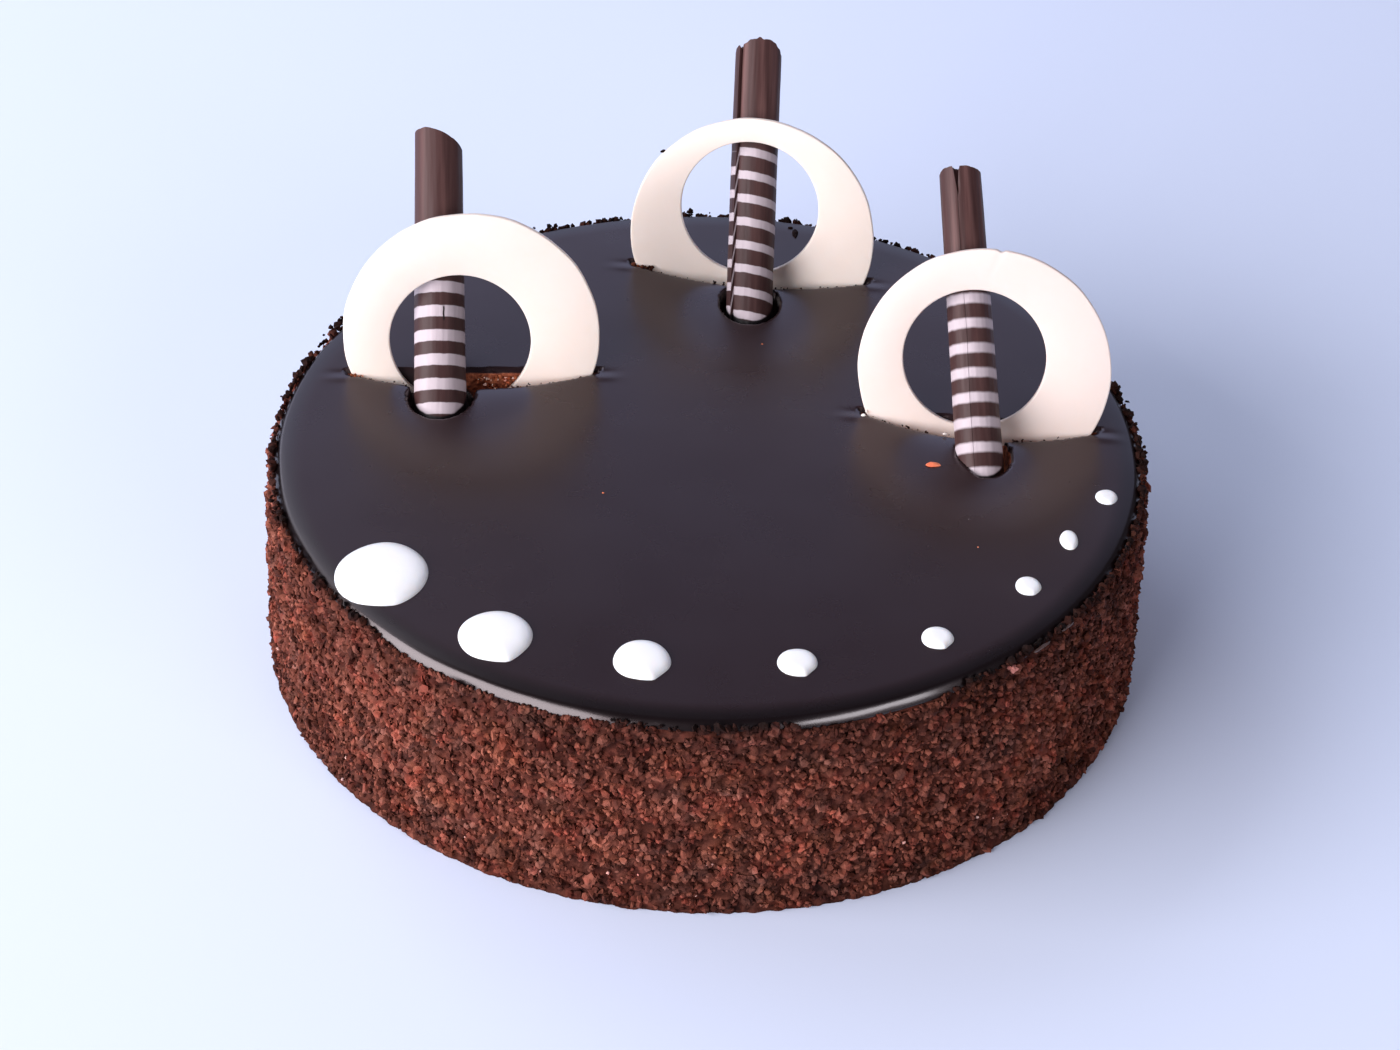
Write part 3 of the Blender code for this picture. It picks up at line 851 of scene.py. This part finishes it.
def makeGlaze():
    # the flat top is rows of chords whose height is glazeHeight, and the rim's rows go round the
    # chords' ends; the two end chords join the rim with one face each
    edge = glazeSheet["edge"]
    rows, columns = glazeRows(edge), glazeSheet["columns"]
    y, share = np.meshgrid(rows, np.linspace(-1, 1, columns), indexing="ij")
    x = share * np.sqrt(edge ** 2 - y ** 2)
    height, torn = glazeHeight(x, y)
    top = np.stack([x, y, height], -1).reshape(-1, 3)
    starts = np.arange(len(rows)) * columns
    border = np.concatenate([starts + columns - 1, starts[::-1]])
    angle = np.arctan2(top[border, 1], top[border, 0])
    radius, level = rimRows(angle)
    ring = roundAxis(radius, angle, glazeTop - level).reshape(-1, 3)
    first = len(top) + np.arange(len(angle))
    seam = np.stack([border, first, np.roll(first, -1), np.roll(border, -1)], -1)
    back, front = len(rows) - 1, 2 * len(rows) - 1
    inner = np.arange(1, columns - 1)
    chords = np.stack([np.append(seam[back], starts[-1] + inner), np.append(seam[front], inner[::-1])])
    faces = [gridQuads(len(rows), columns, closed=False), np.delete(seam, [back, front], 0), chords,
             gridQuads(len(radius), len(angle), start=len(top))[:, ::-1],
             fan(len(angle), len(top) + len(ring) - len(angle), len(top) + len(ring), False)]
    torn = np.concatenate([torn.ravel(), np.zeros(len(ring) + 1)])
    bare, between, azimuth = bareRim(angle)
    shine = (np.arange(len(radius)) > 2)[:, None] * bare * np.where(azimuth < 270, *rim["shine"])
    shine = np.concatenate([np.zeros(len(top)), shine.ravel(), [0]])
    points = np.concatenate([top, ring, [(0, 0, ring[-1, 2])]])
    # painted shade: 0 inside, rising towards the rim and 1 on the rim itself, stored as verge
    rimShade = smoothStep((np.hypot(points[:, 0], points[:, 1]) - glazeSheet["verge"][0]) / (4 * mm))
    rimShade[len(top):] = 1
    piece = meshPiece("glazeSheet", points, faces, glazeFinish(), torn=torn, shine=shine, verge=rimShade)
    place(piece, "glaze", "glaze")


makeGlaze()

# Ring plates

print("plates, sticks and drops")
plateEdge = {"round": 0.35 * mm, "columns": 300, "wobble": 0.12 * mm}


def leaning(foot, turn, lean):
    # X across, Y away from the front, Z up along a piece that stands on the glaze and leans back
    foot = Matrix.Translation((foot[0] * mm, foot[1] * mm, glazeTop))
    return foot @ Matrix.Rotation(math.radians(turn), 4, "Z") @ Matrix.Rotation(-math.radians(lean), 4, "X")


def moved(points, matrix):
    # rows of x, y, z carried by a matrix
    matrix = np.array(matrix)
    return points @ matrix[:3, :3].T + matrix[:3, 3]


def makePlate(name, plate, finish, seed):
    # a section with rounded corners, from the disc's edge to the hole's, carried round the plate
    columns, corner = plateEdge["columns"], plateEdge["round"]
    angle = np.arange(columns) * tau / columns
    wobble = plateEdge["wobble"] * noiseRound(angle, 30, seed)
    if "nick" in plate:
        wobble -= 0.55 * mm * np.exp(-((np.degrees(angle) - plate["nick"]) / 1.2) ** 2)
    outwards = np.stack([np.cos(angle), np.sin(angle)], -1)
    outer = (plate["radius"] * mm + wobble)[:, None] * outwards + (0, plate["rise"] * mm)
    inner = plate["holeRadius"] * mm * outwards + np.array(plate["hole"]) * mm
    section = []  # (which edge, how far inside it, depth)
    for edge, bends in ((0, (0, 30, 60, 90)), (1, (90, 60, 30, 0))):
        for bend in np.radians(bends):
            section.append((edge, corner * (1 - math.cos(bend)), corner * (1 - math.sin(bend))))
    back = [(edge, inset, plateThickness - depth) for edge, inset, depth in reversed(section)]
    rows = []
    for edge, inset, depth in section + back:
        line = inner + outwards * inset if edge else outer - outwards * inset
        rows.append(np.stack([line[:, 0], np.full(columns, depth), line[:, 1]], -1))
    points = moved(np.concatenate(rows), leaning(plate["foot"], plate["turn"], plate["lean"]))
    faces = gridQuads(len(rows), columns, loop=True)
    piece = meshPiece(name.replace("_", "Plate"), points, [faces], finish)
    place(piece, "white_chocolate", name)


plateFinish = whiteFinish("whiteChocolate", (0.81, 0.725, 0.665), (0.75, 0.615, 0.51), 0.4, soft=0.6)
# painted shade: the right plate takes a darker copy of the white chocolate
shadedPlateFinish = whiteFinish("whiteChocolateShaded", (0.735, 0.635, 0.59), (0.69, 0.56, 0.47), 0.4, soft=0.6)
for number, (name, plate) in enumerate(plates.items()):
    makePlate(name, plate, shadedPlateFinish if name == "ring_right" else plateFinish, 61 + number)

# Rolled sticks

roll = {
    "columns": 96,
    "below": 12 * mm,  # length under the glaze
    "rows": 240,
    "groove": 0.4 * mm,  # depth of the seam
    "endReach": 7 * mm,  # stretch that takes up the slanting cut
    "layer": 0.2,  # one turn of the roll, as a share of the radius
    "mouth": 0.4,  # its open middle, the same way
    "mouthDepth": 5 * mm,
}
stickLooks = {
    # where a white band's middle lies, the pitch, the white share, how soft its edges are, where the
    # bands stop, their slope; how ragged the cut is; the seam's step and length; the notch's width
    # and depth; how far under the glaze's top the painted shade on its foot starts; how strong the
    # streaks are; cracks, each as its place across and its two ends
    "stick_left": dict(start=-0.1 * mm, pitch=5.78 * mm, share=0.47, soft=0.02, stop=34 * mm,
                       helix=0.0, ragged=0.12 * mm, step=0.3 * mm, seamLength=60 * mm,
                       notch=(0.7 * mm, 0.0), sunk=1.45 * mm, streaks=0.35,
                       cracks=[(1.5 * mm, 14.8 * mm, 18.6 * mm)]),
    "stick_centre": dict(start=1.16 * mm, pitch=5.79 * mm, share=0.36, soft=0.02, stop=40.7 * mm,
                         helix=-0.14, ragged=0.6 * mm, step=0.6 * mm, seamLength=90 * mm,
                         notch=(0.5 * mm, 1.2 * mm), sunk=1.2 * mm, streaks=0.9),
    "stick_right": dict(start=-0.2 * mm, pitch=5.82 * mm, share=0.40, soft=0.05, stop=42.6 * mm,
                        helix=0.0, ragged=0.35 * mm, step=0.12 * mm, seamLength=7 * mm,
                        notch=(0.75 * mm, 6.0 * mm), sunk=1.0 * mm, streaks=0.8),
}


def makeStick(name, stick, seed):
    # rows of points round the roll, the radius growing by one step from the seam round to itself;
    # the last rows slant to the cut, run in over its spiral layers and go down into the mouth
    looks = stickLooks[name]
    columns, length = roll["columns"], stick["length"] * mm
    turn = np.linspace(0, tau, columns)
    foot, top = np.array(stick["radii"]) * mm
    along = np.linspace(-roll["below"], length, roll["rows"])[:, None]
    angle = math.radians(stick["seam"]) + turn + 0.04 * softNoise(along / (9 * mm) + 7, along * 0, seed, 64)
    mean = foot + (top - foot) * along / length
    radius = mean + looks["step"] * (turn / tau - 0.5)
    for height, cells, reach, step in ((0.07, 22, 30, 1), (0.05, 60, 8, 2)):
        across = turn / tau * cells + 0 * along
        radius = radius + height * mm * softNoise(across, along / (reach * mm) + 5, seed + step, cells)
    seam = smoothStep((along - length + looks["seamLength"]) / (4 * mm))
    radius = radius - roll["groove"] * seam * np.exp(-(turn * mean / (0.35 * mm)) ** 2)
    width, depth = looks["notch"]
    arc = np.minimum(turn, tau - turn) * top
    ragged = looks["ragged"] * (noiseRound(turn, 14, seed + 3) + 0.5 * noiseRound(turn, 40, seed + 4))
    ragged += depth * np.clip(1 - arc / width, 0, 1)
    slant = smoothStep((along - length + roll["endReach"]) / roll["endReach"])
    x, y = radius * np.cos(angle), radius * np.sin(angle)
    fall = x * stick["cut"][0] + y * stick["cut"][1]
    side = np.stack([x, y, along - slant * (fall + ragged)], -1)
    rows = [row for row in side]
    lastX, lastY = side[-1, :, :2].T
    for share in np.linspace(0.97, roll["mouth"], 26):
        phase = (share / roll["layer"] - turn / tau) % 1.0
        hollow = 0.9 * mm * np.exp(-((phase - 0.5) / 0.13) ** 2) * (share < 0.93)
        tilt = lastX * share * stick["cut"][0] + lastY * share * stick["cut"][1]
        edge = smoothStep((share - 0.72) / 0.2)
        rows.append(np.stack([lastX * share, lastY * share, length - tilt - ragged * edge - hollow], -1))
    for deep in range(3):
        rows.append(rows[-1] - (0, 0, roll["mouthDepth"] / 3))
    points = np.concatenate(rows + [[rows[0].mean(0), rows[-1].mean(0)]])
    count = len(rows) * columns
    faces = [gridQuads(len(rows), columns), fan(columns, 0, count, False),
             fan(columns, count - columns, count + 1)]
    arc = np.broadcast_to(turn, side.shape[:2]) * mean
    shifted = np.broadcast_to(along, side.shape[:2]) - looks["helix"] * arc
    band = np.concatenate([shifted.ravel(), np.full(len(points) - shifted.size, length)])
    local = points.copy()
    local[:shifted.size, 2] = np.broadcast_to(along, side.shape[:2]).ravel()
    finish = rollFinish(name.replace("_", "Roll"), looks)
    points = moved(points, leaning(stick["foot"], -stick["heading"], stick["lean"]))
    piece = meshPiece(name.replace("_", "Roll"), points, faces, finish, band=band, local=local)
    piece.data.set_sharp_from_angle(angle=math.radians(50))
    place(piece, "rolled_chocolate", name)


for number, (name, stick) in enumerate(sticks.items()):
    makeStick(name, stick, 71 + 10 * number)

# White drops

drops = {
    # node: centre x and y, width, depth and height in millimetres, and how drawn out its corner is
    "drop_1": (-70.0, -53.9, 20.2, 22.6, 1.6, 0.4),
    "drop_2": (-43.8, -73.9, 15.9, 17.0, 1.5, 0.9),
    "drop_3": (-12.5, -80.4, 12.4, 13.1, 1.3, 1.2),
    "drop_4": (20.2, -79.7, 8.6, 9.1, 1.1, 1.2),
    "drop_5": (50.1, -70.2, 7.1, 7.4, 1.0, 1.1),
    "drop_6": (70.7, -51.5, 5.7, 6.6, 0.9, 0.6),
    "drop_7": (80.9, -34.6, 4.2, 7.0, 0.9, 0.3),
    "drop_8": (90.7, -18.2, 5.1, 5.6, 0.8, 0.2),
}


def makeDrop(name, drop, finish, seed):
    # a low dome over an uneven oval: upright at its edge, then flattening towards the middle; where
    # the piping ended, its front is flattened and drawn out to a small corner
    x, y, width, depth, height, corner = drop
    columns = 72
    random = np.random.default_rng(seed)
    turn = np.arange(columns) * tau / columns
    waves = random.uniform(0, tau, 3)
    uneven = 1 + 0.012 * np.cos(2 * turn + waves[0]) + 0.012 * np.cos(3 * turn + waves[1])
    uneven += 0.006 * np.cos(5 * turn + waves[2])
    for middle, spread, push in ((-100, 20, -0.035), (-66, 9, 0.04), (-38, 18, -0.035)):
        away = (turn - math.radians(middle) + math.pi) % tau - math.pi
        uneven += push * corner * np.exp(-(away / math.radians(spread)) ** 2)
    rows = []
    for level in np.linspace(0, 1, 14)[:-1]:
        share = np.cos(level * math.pi / 2) ** 0.45
        rise = np.sin(level * math.pi / 2)
        rows.append(np.stack([(x + width / 2 * share * uneven * np.cos(turn)) * mm,
                              (y + depth / 2 * share * uneven * np.sin(turn)) * mm,
                              np.full(columns, glazeTop + (rise * (height + 0.3) - 0.3) * mm)], -1))
    centre = [(x * mm, y * mm, glazeTop + height * mm), (x * mm, y * mm, glazeTop - 0.3 * mm)]
    points = np.concatenate(rows + [centre])
    count = len(rows) * columns
    faces = [gridQuads(len(rows), columns), fan(columns, count - columns, count),
             fan(columns, 0, count + 1, False)]
    piece = meshPiece(name.replace("_", ""), points, faces, finish)
    place(piece, "white_icing", name)


dropFinish = whiteFinish("whiteIcing", (0.90, 0.90, 0.91), (0.86, 0.85, 0.86), 0.3, 0.3, soft=0.6)
for number, (name, drop) in enumerate(drops.items()):
    makeDrop(name, drop, dropFinish, 101 + number)

# Chips and flecks

print("chips and flecks")


def makeFlecks(name, finish, slot, seed, flecks, tone=1.0):
    # small lumps at given places: x, y and height over the glaze, size, stretch in x, y and z, and
    # turn in degrees
    random = np.random.default_rng(seed)
    corners, triangles = lumpShape(2)
    points = []
    for x, y, above, size, stretch, turn in flecks:
        shape = corners * random.uniform(0.75, 1.15, (len(corners), 1)) * size * np.array(stretch)
        shape = moved(shape, Matrix.Rotation(math.radians(turn), 4, "Z"))
        points.append((shape + (x, y, above)) * mm + (0, 0, glazeTop))
    faces = np.concatenate([triangles + number * len(corners) for number in range(len(flecks))])
    points = np.concatenate(points)
    tint = np.repeat(tone * random.random(len(flecks)), len(corners))
    place(meshPiece(name, points, [faces], finish, False, tint=tint), slot)


fleckStops = [(0.0, (0.60, 0.13, 0.05)), (1.0, (0.85, 0.30, 0.17))]
fleckFinish = crumbFinish("orangeFleck", fleckStops, shaded=False)
makeFlecks("flecks", fleckFinish, "crumb", 91, [
    (51.8, -7.6, 0.15, 1.0, (1.7, 0.9, 0.3), 0), (-23.3, -22.0, 0.0, 0.28, (1.0, 1.0, 0.5), 0),
    (60.5, -38.0, 0.0, 0.2, (1.0, 1.0, 0.5), 0), (12.5, 40.0, 0.0, 0.2, (1.0, 1.0, 0.5), 0)])
makeFlecks("chips", plateFinish, "white_chocolate", 92, [
    (36.3, 11.2, 0.1, 0.5, (1.2, 0.8, 0.7), 0), (37.0, 12.2, 0.6, 0.35, (0.8, 0.8, 1.0), 0),
    (55.1, 4.8, 0.0, 0.4, (1.2, 0.8, 0.6), 0)])
makeFlecks("darkCrumbs", coatFinish, "crumb", 93, [
    (20.7, 91.0, 0.1, 1.0, (0.8, 2.0, 0.35), 0), (19.6, 93.6, 0.1, 0.6, (1.2, 0.7, 0.4), 0),
    (-13.2, 80.8, 29.1, 0.45, (1.7, 0.8, 0.8), 40)], tone=0.0)
smearFinish = whiteFinish("glazeSmear", (0.085, 0.050, 0.042), (0.060, 0.028, 0.022), 0.35)
makeFlecks("smears", smearFinish, "glaze", 95, [
    (72.4, -70.6, -1.3, 0.9, (3.2, 0.4, 0.5), 46), (78.4, -63.8, -1.0, 0.8, (2.8, 0.4, 0.5), 51)])


def onSlit(plate, across, away, above):
    # places given along a slit, away from the front and over the glaze, in millimetres
    turn = math.radians(plate["turn"])
    x = plate["foot"][0] + across * math.cos(turn) - away * math.sin(turn)
    y = plate["foot"][1] + across * math.sin(turn) + away * math.cos(turn)
    return np.stack([x, y, above], -1) * mm + (0, 0, glazeTop)


tornCorners = [
    # plate, how many crumbs, how far they reach from the slit's left end, tones from and to
    ("ring_left", 20, 3.0, 0, 0.8),
    ("ring_centre", 34, 4.5, -0.4, -0.1),
]


def makeSlitCrumbs():
    # torn sponge in the left slit, seen through the plate's hole, and at two slits' left corners
    random = np.random.default_rng(94)
    count = 120
    across, away = random.uniform(0.5, 15, count), random.uniform(-4.2, 1.4, count)
    above = random.uniform(-4.8, -2.0, count)
    away = np.where(above > -3.2, random.uniform(0.9, 1.6, count), away)
    places = [onSlit(plates["ring_left"], across, away, above)]
    tones = [random.random(count) ** 1.8]
    for name, count, reach, low, high in tornCorners:
        across = random.uniform(-0.8, reach, count) - plateHalf(plates[name])
        away, above = random.uniform(-1.3, 0.1, count), random.uniform(-1.0, -0.2, count)
        places.append(onSlit(plates[name], across, away, above))
        tones.append(low + (high - low) * random.random(count) ** 2)
    places = np.concatenate(places)
    shapes = lumps(random, places, random.uniform(0.2, 0.65, len(places)) * mm, 1)
    finish = crumbFinish("tornSponge", spongeStops, 0.9, shaded=False)
    lumpPiece("slitCrumbs", shapes, np.concatenate(tones), finish)


makeSlitCrumbs()


def makeLipCrumbs():
    # dark crumbs dragged up along each slit's near lip, further darkened by the crumb finish's painted
    # shade
    random = np.random.default_rng(96)
    places = []
    for plate in plates.values():
        half = plateHalf(plate)
        across = random.uniform(-half - 0.5, half + 0.5, 46)
        across = across[np.abs(across) > 6.0]
        lip = -0.1 - plate["bow"] * (1 - (across / (half + 0.7)) ** 2)
        away = lip + random.uniform(-0.3, 0.6, len(across))
        places.append(onSlit(plate, across, away, random.uniform(-1.1, -0.5, len(across))))
    places = np.concatenate(places)
    shapes = lumps(random, places, random.uniform(0.15, 0.42, len(places)) * mm, 1)
    lumpPiece("lipCrumbs", shapes, 0.5 * random.random(len(places)))


makeLipCrumbs()
